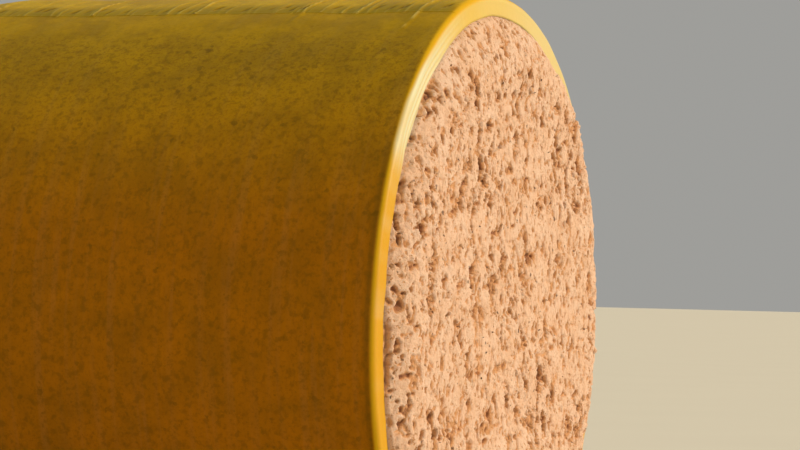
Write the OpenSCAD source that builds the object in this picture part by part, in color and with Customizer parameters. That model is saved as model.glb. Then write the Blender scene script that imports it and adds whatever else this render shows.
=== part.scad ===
// Round module of seed cotton, wrapped in plastic film, as it rests in the field.
// A settled roll of pressed seed cotton lies on its side. Its two ends are loose,
// crowned and lumpy. One long sheet of film is wound round it almost three times,
// a little wider than the roll, so that both edges turn in over the ends. The
// sheet's free end, the tail, is stuck down just in front of the top.
// The roll's axis runs along X, Z is up, and the origin is on the ground under
// its middle. Lengths are in millimetres and angles in degrees.

/* [Roll] */
// Diameter of the roll as it leaves the chamber, before it settles
formed_diameter = 2290; // [1900:10:2450]
// Length of the wrapped roll, from rim to rim of the film
rim_to_rim = 2320; // [1700:10:2450]
// Radius of the cotton's edge at each rim
rim_radius = 20; // [12:1:40]

/* [Settling] */
// Radius of the bulged sides next to the ground
shoulder_radius = 700; // [500:10:850]
// Angle below the horizontal where the bulged sides leave the round top
shoulder_angle = 25; // [12:1:38]

/* [Film] */
// Thickness that the sheet is drawn with
film_thickness = 1.2; // [0.9:0.1:2.4]
// Gap between one turn and the next
winding_gap = 0.3; // [0.2:0.05:0.6]
// How far the first turn reaches in over each end
lip_width = 75; // [55:1:110]
// How much shorter each later turn's lip is
lip_step = 12; // [6:1:16]
// Angle between small gathers round the turned-in edge
gather_pitch = 4.5; // [3:0.5:9]
// Height of a gather at the lip's inner edge
gather_height = 3.5; // [2:0.1:5]
// Width of a gather at the lip's inner edge
gather_width = 22; // [12:1:40]

/* [Tail] */
// Angle from the horizontal, on the front side, of the sheet's free end
tail_angle = 66; // [45:1:85]
// How many slack folds run up from the free end
fold_count = 20; // [8:1:30]
// Length of the longest fold
fold_length = 430; // [200:10:500]
// Width of the widest fold at its mouth
fold_width = 34; // [20:1:44]
// Height of the tallest fold at its mouth
fold_height = 12; // [6:0.5:16]
// How far the folds lean towards the right end, off the winding direction
fold_lean = 4; // [0:1:35]

/* [Loose ends] */
// How deep the loose cotton is behind the rim
end_depth = 60; // [45:1:120]
// How far the crown stands out past the cotton under the lips
crown_height = 58; // [30:1:80]
// Distance over which the crown rises from the lip's edge
crown_run = 150; // [100:5:250]
// How far lumps and hollows depart from the crown
lump_height = 13; // [4:1:20]
// Distance from one lump to the next
lump_pitch = 125; // [90:5:220]

/* [Hidden] */
$fn = 96;

cotton_colour = [0.93, 0.84, 0.72];
loose_cotton_colour = [0.95, 0.87, 0.76];
film_colour = [0.93, 0.72, 0.10];

// The winding: three turns, of which the last stops at the tail
turn_count = 3;
pitch = film_thickness + winding_gap;
pack_thickness = turn_count * pitch;
climb_shift = pitch / (2 * cos(shoulder_angle));
tuck_angle = 0.06;
tuck_depth = 0.15;
edge_gap = 2;

// The settled outline keeps the formed roll's girth. Its top is one arc, then
// comes a tighter arc on each side, and a flat between them on the ground.
girth = PI * formed_diameter;
shoulder_sweep = 90 - shoulder_angle;
top_sweep = 180 + 2 * shoulder_angle;
top_radius = (girth - 2 * shoulder_radius * (rad(shoulder_sweep) - cos(shoulder_angle)))
    / (rad(top_sweep) + 2 * cos(shoulder_angle));
radius_drop = top_radius - shoulder_radius;
flat_half = radius_drop * cos(shoulder_angle);
shoulder_z = pack_thickness + shoulder_radius;
top_z = shoulder_z + radius_drop * sin(shoulder_angle);
middle_z = (top_z + top_radius) / 2;

// Half the cotton's length, at the flat ring that the lips lie on
half_length = rim_to_rim / 2 - pack_thickness;

// Loose ends: stations round the outline, and rings from the rim to the middle
top_steps = 80;
shoulder_steps = 18;
flat_steps = 12;
rim_steps = 3;
crown_steps = 4;
disc_rings = 19;

// A disc ring has half as many stations below this share of the way out, and
// half again at each halving of the share
thinning_share = 0.76;
largest_stride = 8;

// Lumps come in two sizes: the broad ones' share of the height, and how much
// closer together the fine ones lie, on a grid of their own
broad_share = 0.62;
fine_ratio = 1.9;
fine_shift = 7;
fine_seed = 31;

// Gathers and folds sink this far into the film that they belong to
seat_depth = 0.4;

// The smallest gather, as a share of the largest, and how far a gather may lie
// from its even place, as a share of the pitch
smallest_gather = 0.55;
gather_scatter = 0.5;

// Folds: stations along one, the smallest and the shortest as shares of the
// largest and the longest, and how far one may lie from its even place
fold_stations = 7;
smallest_fold = 0.5;
shortest_fold = 0.45;
fold_scatter = 0.6;
// How much faster than its width a fold's height falls off
fold_sink = 0.4;
// Distance from the rims to the outermost folds
fold_margin = 90;
// Section of a fold: shares of its half width and of its height
fold_section = [[-1, 0], [-0.45, 0.8], [0, 1], [0.45, 0.8], [1, 0]];

function rad(degrees) = degrees * PI / 180;

// A repeatable number from 0 to 1 for a pair of whole numbers
function dice(i, j = 0) = let (v = sin(i * 127.1 + j * 311.7) * 4375.85) v - floor(v);

function ease(t) = t * t * (3 - 2 * t);

function blend(a, b, t) = a + (b - a) * t;

// Smooth random height from -1 to 1 at a place on a square grid of lumps
function lump(u, v, seed) =
    let (
        i = floor(u),
        j = floor(v),
        s = ease(u - i),
        t = ease(v - j),
        low = blend(dice(i + seed, j), dice(i + 1 + seed, j), s),
        high = blend(dice(i + seed, j + 1), dice(i + 1 + seed, j + 1), s)
    )
    2 * blend(low, high, t) - 1;

// Lumps of two sizes, at a place on an end
function lumps(y, z, seed) =
    let (
        u = y / lump_pitch,
        v = z / lump_pitch,
        broad = lump(u, v, seed),
        fine = lump(fine_ratio * u + fine_shift, fine_ratio * v, seed + fine_seed)
    )
    lump_height * blend(fine, broad, broad_share);

// Arcs of the outline: centre across, centre up, radius, first angle, sweep, steps
function outline_arcs() = [
    [0, top_z, top_radius, -shoulder_angle, top_sweep, top_steps],
    [-flat_half, shoulder_z, shoulder_radius, 180 + shoulder_angle, shoulder_sweep, shoulder_steps],
    [flat_half, shoulder_z, shoulder_radius, -90, shoulder_sweep, shoulder_steps],
];

// Stations along one arc: [place across, place up, outward direction across, up]
function arc_stations(arc) = [
    for (i = [0 : arc[5] - 1])
        let (a = arc[3] + arc[4] * i / arc[5])
        [arc[0] + arc[2] * cos(a), arc[1] + arc[2] * sin(a), cos(a), sin(a)]
];

function flat_stations() = [
    for (i = [0 : flat_steps - 1])
        [blend(-flat_half, flat_half, i / flat_steps), pack_thickness, 0, -1]
];

// The whole outline, anticlockwise from the back, seen from the right end
function outline_stations() =
    let (arcs = outline_arcs())
    concat(arc_stations(arcs[0]), arc_stations(arcs[1]), flat_stations(), arc_stations(arcs[2]));

// Loose end, from the back plane out: [distance in from the outline, height past the lip ring]
function rim_profile() = concat(
    [[0, -end_depth]],
    [
        for (i = [0 : rim_steps])
            let (a = 90 * i / rim_steps)
            [rim_radius * (1 - cos(a)), rim_radius * (sin(a) - 1)]
    ],
    [[lip_width + edge_gap, 0]],
    [
        for (i = [1 : crown_steps])
            let (a = 90 * i / crown_steps)
            [lip_width + edge_gap + crown_run * (1 - cos(a)), crown_height * sin(a)]
    ]
);

// How much of the lumps shows at a profile point: none under the lips
function lump_share(d) = ease(min(1, max(0, (d - lip_width - edge_gap) / crown_run)));

// One ring of a loose end, as points that follow the outline
function profile_ring(stations, point, seed) = [
    for (s = stations)
        let (y = s[0] - s[2] * point[0], z = s[1] - s[3] * point[0])
        [half_length + point[1] + lump_share(point[0]) * lumps(y, z, seed), y, z]
];

// How many stations one point of a disc ring stands for, so that the points lie
// about as far apart near the middle as at the edge
function disc_stride(share, limit = thinning_share, stride = 1) =
    share > limit || stride == largest_stride
    ? stride
    : disc_stride(share, limit / 2, 2 * stride);

// One ring of the crowned disc, a share of the way out from the middle
function disc_ring(stations, share, seed) =
    let (d = lip_width + edge_gap + crown_run)
    [
        for (i = [0 : disc_stride(share) : len(stations) - 1])
            let (
                s = stations[i],
                y = (s[0] - s[2] * d) * share,
                z = middle_z + (s[1] - s[3] * d - middle_z) * share
            )
            [half_length + crown_height + lumps(y, z, seed), y, z]
    ];

// Number of points in all the rings before each ring
function ring_starts(rings) = [
    for (k = 0, total = 0; k < len(rings); total = total + len(rings[k]), k = k + 1) total
];

// Triangles from a ring of n points to the next ring in, of n or half as many
function ring_faces(start, n, next_start, next_n) =
    next_n == n
    ? [
        for (i = [0 : n - 1])
            let (a = start + i, b = start + (i + 1) % n, c = next_start + i, d = next_start + (i + 1) % n)
            each [[a, c, b], [b, c, d]]
    ]
    : [
        for (i = [0 : next_n - 1])
            let (
                a = start + 2 * i,
                b = start + 2 * i + 1,
                c = start + (2 * i + 2) % n,
                d = next_start + i,
                e = next_start + (i + 1) % next_n
            )
            each [[a, d, b], [b, d, e], [b, e, c]]
    ];

// A section of a sheet of film, radius outwards and the roll's axis upwards:
// a wall with a round rim at each end and a lip turned in to lip_reach
module film_section(radius, length, corner, lip_reach) {
    intersection() {
        difference() {
            rounded_block(radius, length, corner + film_thickness, film_thickness);
            rounded_block(radius, length, corner, 0);
        }
        translate([radius - lip_reach, -length])
            square([lip_reach + 2 * film_thickness, 2 * length]);
    }
}

// Half of a roll's long section, grown outwards, with round outer corners
module rounded_block(radius, length, corner, grow) {
    r = radius + grow;
    h = length / 2 + grow;
    inner = radius - 2 * lip_width;
    translate([inner, -h])
        square([r - inner - corner, 2 * h]);
    translate([inner, -h + corner])
        square([r - inner, 2 * (h - corner)]);
    for (side = [-1, 1])
        translate([r - corner, side * (h - corner)])
            circle(corner);
}

// Turns drawing X, Y, Z into the roll's Y, Z, X
module along_roll() {
    rotate([90, 0, 90])
        children();
}

// Long section of a turn that stands off the cotton by depth, for an arc of the
// cotton's outline of this radius
module turn_section(index, radius, depth) {
    film_section(radius + depth, 2 * (half_length + depth), rim_radius + depth, lip_reach(index));
}

// One turn of the sheet, up to an angle at its front. On the sides and the ground
// it lies at the depth of its own turn. Over the top its arc is drawn from a
// shifted centre, so that it climbs by one pitch from the back to the front and
// meets the turn outside it. The sides tuck a hair under their neighbours.
module film_turn(index, last_angle) {
    depth = winding_gap + index * pitch;
    along_roll() {
        translate([-climb_shift, top_z])
            rotate(-shoulder_angle)
                rotate_extrude(angle = last_angle + shoulder_angle - tuck_angle)
                    turn_section(index, top_radius, depth + pitch / 2);
        for (side = [0, 1])
            mirror([side, 0, 0])
                translate([flat_half, shoulder_z]) {
                    rotate(-90 - tuck_angle)
                        rotate_extrude(angle = shoulder_sweep + 2 * tuck_angle)
                            turn_section(index, shoulder_radius, depth - tuck_depth);
                    rotate([90, 0, -90])
                        linear_extrude(flat_half)
                            turn_section(index, shoulder_radius, depth);
                }
    }
}

// A gather: a low roof that opens at the lip's inner edge, with its tip at the rim.
// It is drawn on the lip's plane with its mouth at the origin, reaching along X.
module gather(reach, scale) {
    half = scale * gather_width / 2;
    polyhedron(
        [
            [0, -half, -seat_depth],
            [0, half, -seat_depth],
            [reach, 0, -seat_depth],
            [0, 0, scale * gather_height],
        ],
        [[0, 1, 2], [0, 3, 1], [1, 3, 2], [2, 3, 0]]
    );
}

// Gathers on one arc of a turn's lip, from one angle over a sweep, at both ends
module lip_gathers(index, arc, first_angle, sweep) {
    depth = winding_gap + index * pitch;
    face = half_length + depth + film_thickness;
    inner = arc[2] + depth - lip_reach(index) + pitch;
    reach = lip_reach(index) - rim_radius - depth - pitch;
    count = floor(sweep / gather_pitch) - 1;
    step = sweep / (count + 1);
    along_roll()
        translate([arc[0], arc[1]])
            for (i = [1 : count], side = [0, 1])
                mirror([0, 0, side])
                    translate([0, 0, face])
                        rotate(first_angle + (i + gather_scatter * dice(i, arc[3] + side)) * step)
                            translate([inner, 0, 0])
                                gather(reach, blend(smallest_gather, 1, dice(i + 11, arc[3] + side)));
}

// A slack fold in the tail: a low tunnel, open at the sheet's free end, that runs
// up over the roll, leans towards the right end and tapers to nothing
module tail_fold(start_x, length, half_width, height) {
    radius = top_radius + winding_gap + (turn_count - 1) * pitch + pitch / 2 + film_thickness;
    rows = [
        for (k = [0 : fold_stations - 1])
            let (
                t = k / fold_stations,
                a = 180 - tail_angle - (length * t / radius) * 180 / PI,
                x = start_x + length * t * tan(fold_lean),
                w = half_width * (1 - t),
                h = height * (1 - t) * (1 - fold_sink * t)
            )
            [for (q = fold_section)
                let (r = radius - seat_depth + q[1] * (h + seat_depth))
                [x + q[0] * w, r * cos(a) - climb_shift, top_z + r * sin(a)]]
    ];
    tip_angle = 180 - tail_angle - (length / radius) * 180 / PI;
    tip = [
        start_x + length * tan(fold_lean),
        (radius - seat_depth) * cos(tip_angle) - climb_shift,
        top_z + (radius - seat_depth) * sin(tip_angle),
    ];
    across = len(fold_section);
    last = (fold_stations - 1) * across;
    polyhedron(
        concat([for (row = rows) each row], [tip]),
        concat(
            [[for (i = [0 : across - 1]) i]],
            [
                for (k = [0 : fold_stations - 2], i = [0 : across - 1])
                    let (a = k * across + i, b = k * across + (i + 1) % across)
                    each [[a, a + across, b], [b, a + across, b + across]]
            ],
            [for (i = [0 : across - 1]) [last + i, fold_stations * across, last + (i + 1) % across]]
        )
    );
}

module tail_folds() {
    run = rim_to_rim - 2 * fold_margin - fold_length * tan(fold_lean);
    for (i = [0 : fold_count - 1]) {
        size = blend(smallest_fold, 1, dice(i, 3));
        place = (i + 0.5 + fold_scatter * (dice(i, 9) - 0.5)) / fold_count;
        tail_fold(
            -rim_to_rim / 2 + fold_margin + run * place,
            fold_length * blend(shortest_fold, 1, dice(i, 17)),
            size * fold_width / 2,
            size * fold_height
        );
    }
}

function lip_reach(index) = lip_width - index * lip_step;

// The settled outline of the cotton, lying in the XY plane with its height along Y
module outline() {
    junction_z = top_z - top_radius * sin(shoulder_angle);
    far = 2 * top_radius;
    intersection() {
        translate([0, top_z])
            circle(top_radius);
        translate([-far, junction_z])
            square([2 * far, far]);
    }
    intersection() {
        union() {
            for (side = [-1, 1])
                translate([side * flat_half, shoulder_z])
                    circle(shoulder_radius);
            translate([-flat_half, pack_thickness])
                square([2 * flat_half, shoulder_radius]);
        }
        translate([-far, junction_z - far])
            square([2 * far, far]);
    }
}

module cotton_roll() {
    color(cotton_colour)
        translate([end_depth - half_length, 0, 0])
            along_roll()
                linear_extrude(2 * (half_length - end_depth))
                    outline();
}

module loose_end(seed) {
    stations = outline_stations();
    count = len(stations);
    profile = rim_profile();
    rings = concat(
        [for (p = profile) profile_ring(stations, p, seed)],
        [for (k = [1 : disc_rings - 1]) disc_ring(stations, 1 - k / disc_rings, seed)]
    );
    starts = ring_starts(rings);
    last = len(rings) - 1;
    last_count = len(rings[last]);
    tip = starts[last] + last_count;
    color(loose_cotton_colour)
        polyhedron(
            concat(
                [for (ring = rings) each ring],
                [[half_length + crown_height + lumps(0, middle_z, seed), 0, middle_z]]
            ),
            concat(
                [[for (i = [0 : count - 1]) i]],
                [
                    for (k = [0 : last - 1])
                        each ring_faces(starts[k], len(rings[k]), starts[k + 1], len(rings[k + 1]))
                ],
                [for (i = [0 : last_count - 1]) [starts[last] + i, tip, starts[last] + (i + 1) % last_count]]
            )
        );
}

module loose_end_right() {
    loose_end(5);
}

module loose_end_left() {
    mirror([1, 0, 0])
        loose_end(58);
}

module film_turn_1() {
    color(film_colour)
        film_turn(0, 180 + shoulder_angle);
}

module film_turn_2() {
    color(film_colour) {
        film_turn(1, 180 + shoulder_angle);
        lip_gathers(1, outline_arcs()[0], 180 - tail_angle, tail_angle + shoulder_angle);
    }
}

module film_turn_3() {
    arcs = outline_arcs();
    color(film_colour) {
        film_turn(2, 180 - tail_angle);
        lip_gathers(2, arcs[0], arcs[0][3], 180 - tail_angle + shoulder_angle);
        lip_gathers(2, arcs[1], arcs[1][3], arcs[1][4]);
        lip_gathers(2, arcs[2], arcs[2][3], arcs[2][4]);
        tail_folds();
    }
}

cotton_roll();
loose_end_left();
loose_end_right();
film_turn_1();
film_turn_2();
film_turn_3();
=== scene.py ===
import math

import bmesh
import bpy
import numpy as np
from mathutils import Matrix, Vector


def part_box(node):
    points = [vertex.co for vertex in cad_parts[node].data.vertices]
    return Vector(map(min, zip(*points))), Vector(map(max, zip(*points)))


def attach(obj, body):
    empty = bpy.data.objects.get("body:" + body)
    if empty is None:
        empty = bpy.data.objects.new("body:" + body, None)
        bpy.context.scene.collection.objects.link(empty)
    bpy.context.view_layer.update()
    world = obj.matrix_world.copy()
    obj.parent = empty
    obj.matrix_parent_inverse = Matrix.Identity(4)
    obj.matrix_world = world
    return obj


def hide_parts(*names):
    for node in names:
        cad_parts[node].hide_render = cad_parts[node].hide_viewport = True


bl_info = {
    "name": "Round cotton module",
    "version": (1, 0, 0),
    "blender": (4, 5, 0),
    "location": "3D View > Sidebar > Cotton",
    "description": "Loose cotton ends, film turns and finishes for a wrapped round module of seed cotton",
    "category": "Add Mesh",
}

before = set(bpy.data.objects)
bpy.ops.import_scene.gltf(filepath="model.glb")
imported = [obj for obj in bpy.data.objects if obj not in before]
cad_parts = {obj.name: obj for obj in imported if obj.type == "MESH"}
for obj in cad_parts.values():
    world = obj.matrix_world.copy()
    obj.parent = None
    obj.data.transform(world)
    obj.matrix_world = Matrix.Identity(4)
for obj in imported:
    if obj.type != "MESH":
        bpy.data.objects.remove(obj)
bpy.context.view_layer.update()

# The settled outline, from the frame. Lengths are in metres and angles in radians.
ROLL_LOW, ROLL_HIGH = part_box("cotton_roll")
TOP_RADIUS = (ROLL_HIGH.y - ROLL_LOW.y) / 2
TOP_Z = ROLL_HIGH.z - TOP_RADIUS
BASE_Z = ROLL_LOW.z
SHOULDER_RADIUS = 0.70
SHOULDER_ANGLE = math.radians(25)
FLAT_HALF = (TOP_RADIUS - SHOULDER_RADIUS) * math.cos(SHOULDER_ANGLE)
MIDDLE_Z = (TOP_Z + TOP_RADIUS) / 2

# Lengths of the outline's stretches: front shoulder, flat, back shoulder, top
SHOULDER_RUN = SHOULDER_RADIUS * (math.pi / 2 - SHOULDER_ANGLE)
TOP_RUN = TOP_RADIUS * (math.pi + 2 * SHOULDER_ANGLE)
STRETCH_ENDS = np.cumsum([SHOULDER_RUN, 2 * FLAT_HALF, SHOULDER_RUN, TOP_RUN])
GIRTH = float(STRETCH_ENDS[-1])

# The winding: distance from one turn of film to the next, the film's thickness, the last turn's number
FILM_PITCH = 0.0015
FILM_THICKNESS = 0.0003
LAST_TURN = 2

# How far a turn runs on under the next, and how far it drops there
TUCK = 0.02
TUCK_DROP = 0.0006

# Radius at which the film turns in. Places along the roll: a loose end's back, the lips, the turn's start
RIM_RADIUS = 0.020
BACK_PLANE = ROLL_HIGH.x
LIP_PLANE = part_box("film_turn_1")[1].x - FILM_PITCH
BODY_EDGE = LIP_PLANE - RIM_RADIUS

# Distance between lips that lie on each other, and between the cotton's edge and the film
LIP_STACK = 0.0004
EDGE_GAP = 0.0005


def table(*columns):
    """Points or faces, one to a row, from a column for each of their numbers."""
    return np.stack(columns, axis=1)


# Random fields, the same on every run

def dice(i, j, k, seed):
    """Repeatable numbers from 0 to 1 for whole-number places. The large numbers only mix the bits."""
    n = (i * 374761393 + j * 668265263 + k * 1440662683 + seed * 974634777) & 0xFFFFFFFF
    n = ((n ^ (n >> 13)) * 1274126177) & 0xFFFFFFFF
    n = ((n ^ (n >> 16)) * 2246822519) & 0xFFFFFFFF
    return ((n ^ (n >> 15)) & 0xFFFFFF) / 0x1000000


def smooth(low, high, value):
    """0 at low and 1 at high, with an easy start and end. Low may be the larger one."""
    t = np.clip((value - low) / (high - low), 0, 1)
    return t * t * (3 - 2 * t)


def band(value, start, full, fade, end):
    """0 up to start, 1 from full to fade, and 0 again past end."""
    return smooth(start, full, value) * smooth(end, fade, value)


def hump(value, middle, width):
    """1 at the middle, and less and less away from it."""
    return np.exp(-((value - middle) / width) ** 2)


def waves(points, size, seed):
    """Smooth random height from -1 to 1 with lumps about size metres apart."""
    p = points / size
    cell = np.floor(p).astype(np.int64)
    f = p - cell
    f = f * f * f * (f * (f * 6 - 15) + 10)
    total = np.zeros(len(p))
    for corner in range(8):
        step = np.array([corner & 1, corner >> 1 & 1, corner >> 2 & 1])
        weight = np.prod(np.where(step, f, 1 - f), axis=1)
        i, j, k = (cell + step).T
        total += weight * dice(i, j, k, seed)
    return 2 * total - 1


def rough(points, size, seed, octaves=3, fall=0.5):
    """Several sizes of waves added up, from -1 to 1."""
    total, weight, reach = 0.0, 1.0, 0.0
    for octave in range(octaves):
        total = total + weight * waves(points, size / 2 ** octave, seed + 17 * octave)
        reach += weight
        weight *= fall
    return total / reach


def puffs(points, size, seed):
    """Round cells size metres across: how near the middle is, the gap to the next cell, a number per cell."""
    p = points / size
    cell = np.floor(p).astype(np.int64)
    near = np.full(len(p), np.inf)
    second = near
    lot = np.zeros(len(p))
    for step in np.ndindex(3, 3, 3):
        c = cell + np.array(step) - 1
        i, j, k = c.T
        middle = c + table(*(dice(i, j, k, seed + n) for n in range(3)))
        d = np.linalg.norm(p - middle, axis=1)
        closer = d < near
        second = np.where(closer, near, np.minimum(second, d))
        lot = np.where(closer, dice(i, j, k, seed + 3), lot)
        near = np.where(closer, d, near)
    return near, second - near, lot


# The outline and the sheet

def outline(s):
    """Places (y, z) and outward directions at s metres round the cotton, from the lower front underneath."""
    s = np.asarray(s, float)
    s = np.where(s > GIRTH, s - GIRTH, s)
    flat_start, back_start, top_start = STRETCH_ENDS[:3]
    stretches = [s < flat_start, s < back_start, s < top_start]
    front = math.pi + SHOULDER_ANGLE + s / SHOULDER_RADIUS
    back = -math.pi / 2 + (s - back_start) / SHOULDER_RADIUS
    top = -SHOULDER_ANGLE + (s - top_start) / TOP_RADIUS
    angle = np.select(stretches, [front, -math.pi / 2, back], top)
    middle_y = np.select(stretches, [-FLAT_HALF, s - flat_start - FLAT_HALF, FLAT_HALF], 0.0)
    middle_z = np.where(s < top_start, BASE_Z + SHOULDER_RADIUS, TOP_Z)
    radius = np.where(s < top_start, SHOULDER_RADIUS, TOP_RADIUS)
    ny, nz = np.cos(angle), np.sin(angle)
    return middle_y + radius * ny, middle_z + radius * nz, ny, nz


def climb(s):
    """Share of one pitch that a turn has climbed by s: none round the bottom, all by the front."""
    return np.clip((np.asarray(s, float) - STRETCH_ENDS[2]) / TOP_RUN, 0, 1)


def slump(x, ny, nz, settings):
    """How far inside the even outline the roll lies: its left end sags, its right upper back is fuller."""
    reach = smooth(settings.slump_start, settings.slump_start - settings.slump_length, x)
    fuller = smooth(0.2, 1.1, x) * band(ny, 0.0, 0.62, 0.66, 0.98) * (nz > 0)
    return settings.slump_depth * reach * np.clip(nz, 0, 1) - settings.shoulder_swell * fuller


def section(c, offset):
    """The sheet c metres from its middle: how far out of the cotton, x, its tilt, how far in over the end."""
    corner = RIM_RADIUS + offset
    a = np.abs(c)
    tilt = np.clip((a - BODY_EDGE) / corner, 0, math.pi / 2)
    lip = np.maximum(0, a - BODY_EDGE - corner * math.pi / 2)
    out = offset - corner * (1 - np.cos(tilt)) - lip
    x = np.sign(c) * (np.minimum(a, BODY_EDGE) + corner * np.sin(tilt))
    return out, x, tilt, lip


def sheet_half_width(offset, lip_width):
    """From the sheet's middle to the inner edge of a lip, along the film."""
    corner = RIM_RADIUS + offset
    return BODY_EDGE + corner * math.pi / 2 + lip_width - corner


def tail_place(settings):
    """Where the free end lies, in metres round the roll."""
    return GIRTH - TOP_RADIUS * (settings.tail_angle + SHOULDER_ANGLE)


# Mesh helpers

NO_QUADS = np.zeros((0, 4), int)
NO_TRIANGLES = np.zeros((0, 3), int)


def mesh_piece(name, points, quads, triangles=NO_TRIANGLES, attributes=None, seams=()):
    """A smooth mesh object from arrays. Attributes lie on its points, and edges within a seam are sharp."""
    mesh = bpy.data.meshes.new(name)
    loops = np.concatenate([quads.ravel(), triangles.ravel()])
    starts = np.concatenate([np.arange(len(quads)) * 4, 4 * len(quads) + np.arange(len(triangles)) * 3])
    mesh.vertices.add(len(points))
    mesh.vertices.foreach_set("co", np.asarray(points, np.float32).ravel())
    mesh.loops.add(len(loops))
    mesh.loops.foreach_set("vertex_index", loops.astype(np.int32))
    mesh.polygons.add(len(starts))
    mesh.polygons.foreach_set("loop_start", starts.astype(np.int32))
    mesh.update(calc_edges=True)
    mesh.validate()
    mesh.polygons.foreach_set("use_smooth", np.ones(len(mesh.polygons), bool))
    for key, values in (attributes or {}).items():
        numbers = mesh.attributes.new(key, "FLOAT", "POINT")
        numbers.data.foreach_set("value", np.asarray(values, np.float32))
    ends = np.empty(2 * len(mesh.edges), np.int32)
    mesh.edges.foreach_get("vertices", ends)
    on_seam = [((ends >= low) & (ends < high)).reshape(-1, 2).all(axis=1) for low, high in seams]
    if on_seam:
        mesh.edges.foreach_set("use_edge_sharp", np.any(on_seam, axis=0))
    piece = bpy.data.objects.new(name, mesh)
    bpy.context.scene.collection.objects.link(piece)
    return piece


def finish_piece(piece, material, nodes=()):
    """Give a piece its material, hang it from the root, and hide the parts that it stands for."""
    piece.data.materials.append(material)
    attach(piece, "root")
    if nodes:
        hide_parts(*nodes)


def grid_quads(rows, columns):
    """Quads of a grid of points that is stored row by row."""
    i, j = np.meshgrid(np.arange(rows - 1), np.arange(columns - 1), indexing="ij")
    a = (i * columns + j).ravel()
    return table(a, a + 1, a + columns + 1, a + columns)


def copied_faces(faces, count, size):
    """The faces of count copies of a small shape of size points."""
    return (faces + np.arange(count)[:, None, None] * size).reshape(-1, faces.shape[1])


# Finishes

class Nodes:
    """Short hand for adding and joining the nodes of one tree."""

    def __init__(self, tree):
        self.tree = tree

    def feed(self, place, value):
        """Join an output to an input, or set the input's own value."""
        if isinstance(value, bpy.types.NodeSocket):
            self.tree.links.new(value, place)
        else:
            place.default_value = value

    def set(self, made, **inputs):
        """Feed the inputs of a node by name, with _ for each space."""
        for key, value in inputs.items():
            self.feed(made.inputs[key.replace("_", " ")], value)

    def add(self, kind, settings=None, **inputs):
        made = self.tree.nodes.new(kind)
        for key, value in (settings or {}).items():
            setattr(made, key, value)
        self.set(made, **inputs)
        return made

    def math(self, operation, *values, kind="ShaderNodeMath", **settings):
        made = self.add(kind, {"operation": operation, **settings})
        for place, value in zip(made.inputs, values):
            self.feed(place, value)
        return made.outputs[0]

    def mix(self, share, first, second):
        """From the first to the second colour, each an output or three numbers."""
        made = self.add("ShaderNodeMix", {"data_type": "RGBA"})
        self.feed(made.inputs[0], share)
        for place, value in ((made.inputs[6], first), (made.inputs[7], second)):
            self.feed(place, value if isinstance(value, bpy.types.NodeSocket) else (*value, 1))
        return made.outputs[2]

    def layer(self, below, mask, share, tint):
        """A tint laid over what is below, by share where the mask is full."""
        return self.mix(self.math("MULTIPLY", mask, share), below, tint)

    def ramp(self, value, low, high):
        kind, settings = "ShaderNodeMapRange", {"interpolation_type": "SMOOTHSTEP"}
        return self.add(kind, settings, Value=value, From_Min=low, From_Max=high).outputs["Result"]

    def noise(self, place, scale, detail, roughness=0.5):
        made = self.add("ShaderNodeTexNoise", Vector=place, Scale=scale, Detail=detail, Roughness=roughness)
        return made.outputs["Fac"]

    def bump(self, height, strength, distance):
        made = self.add("ShaderNodeBump", Strength=strength, Distance=distance, Height=height)
        return made.outputs["Normal"]

    def mark(self, name):
        """The numbers that a mesh holds on its points under one name."""
        return self.add("ShaderNodeAttribute", {"attribute_name": name}).outputs["Fac"]

    def group(self, name, build, **inputs):
        """Place a node group with its own values. It is built the first time that a finish needs it."""
        tree = bpy.data.node_groups.get(name) or build(name)
        return self.add("ShaderNodeGroup", {"node_tree": tree}, **inputs).outputs


def open_group(name, inputs, outputs):
    """A new node group that takes a place and numbers: its nodes, what it is given, and its last node."""
    group = bpy.data.node_groups.new(name, "ShaderNodeTree")
    group.interface.new_socket(name="Place", in_out="INPUT", socket_type="NodeSocketVector")
    for key, value in inputs.items():
        made = group.interface.new_socket(name=key, in_out="INPUT", socket_type="NodeSocketFloat")
        made.default_value = value
    for key in outputs:
        group.interface.new_socket(name=key, in_out="OUTPUT", socket_type="NodeSocketFloat")
    n = Nodes(group)
    return n, n.add("NodeGroupInput").outputs, n.add("NodeGroupOutput")


def fleck_group(name):
    """Mask of small bits of leaf and burr, for the cotton and for what shows through the film."""
    n, given, last = open_group(name, {"Scale": 60.0, "Share": 0.1}, ["Mask"])
    bend = n.add("ShaderNodeTexNoise", Vector=given["Place"], Scale=35.0, Detail=2.0).outputs["Color"]
    bent = n.math("MULTIPLY_ADD", bend, (0.03, 0.03, 0.03), given["Place"], kind="ShaderNodeVectorMath")
    cells = n.add("ShaderNodeTexVoronoi", Vector=bent, Scale=given["Scale"])
    lot = n.add("ShaderNodeSeparateColor", Color=cells.outputs["Color"])
    chosen = n.math("LESS_THAN", lot.outputs[0], given["Share"])
    size = n.math("MULTIPLY_ADD", lot.outputs[1], 0.28, 0.10)
    inside = n.math("DIVIDE", n.math("SUBTRACT", size, cells.outputs["Distance"]), 0.08, use_clamp=True)
    n.set(last, Mask=n.math("MULTIPLY", chosen, inside))
    return n.tree


def flecks(n, place, scale, share):
    return n.group("Leaf flecks", fleck_group, Place=place, Scale=scale, Share=share)["Mask"]


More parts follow.
